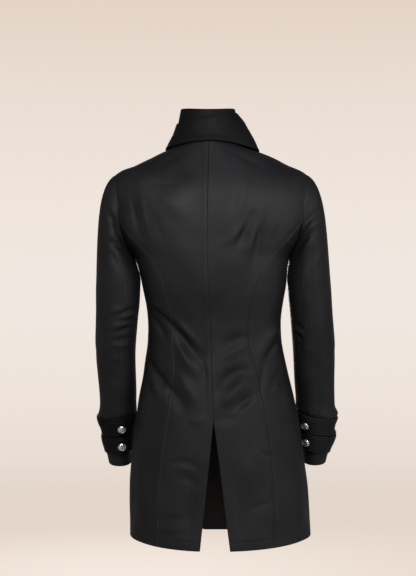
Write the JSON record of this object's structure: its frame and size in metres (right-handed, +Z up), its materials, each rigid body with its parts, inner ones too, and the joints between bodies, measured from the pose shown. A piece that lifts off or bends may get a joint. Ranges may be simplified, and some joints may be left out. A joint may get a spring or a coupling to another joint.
{
  "type": "redingote",
  "caption": "Fitted long coat with a turned-down high collar, princess seams, open back vent and channel-stitched cuff straps, in the hollow form it has when worn.",
  "frame": {"origin": "middle of the neck, level with the nape, where the wearer's neck and shoulders carry the coat", "axes": "+Z up, -Y towards the coat's front, +Y towards its back and vent, +X towards the wearer's left"},
  "size_m": [0.5391, 0.2786, 0.95],
  "materials": {
    "wool": "fine black twill with a soft sheen",
    "silver": "domed silver-coloured metal, softly polished"
  },
  "bodies": {
    "root": {"back_left": "wool", "back_right": "wool", "side_back_left": "wool", "side_back_right": "wool", "front_left": "wool", "front_right": "wool", "top_sleeve_left": "wool", "top_sleeve_right": "wool", "under_sleeve_left": "wool", "under_sleeve_right": "wool", "collar_stand": "wool", "collar_leaf": "wool", "strap_upper_left": "wool", "strap_lower_left": "wool", "strap_upper_right": "wool", "strap_lower_right": "wool", "button_strap_upper_left": "silver", "button_strap_lower_left": "silver", "button_strap_upper_right": "silver", "button_strap_lower_right": "silver", "button_front_1": "silver", "button_front_2": "silver", "button_front_3": "silver", "button_front_4": "silver", "button_front_5": "silver"}
  },
  "joints": []
}
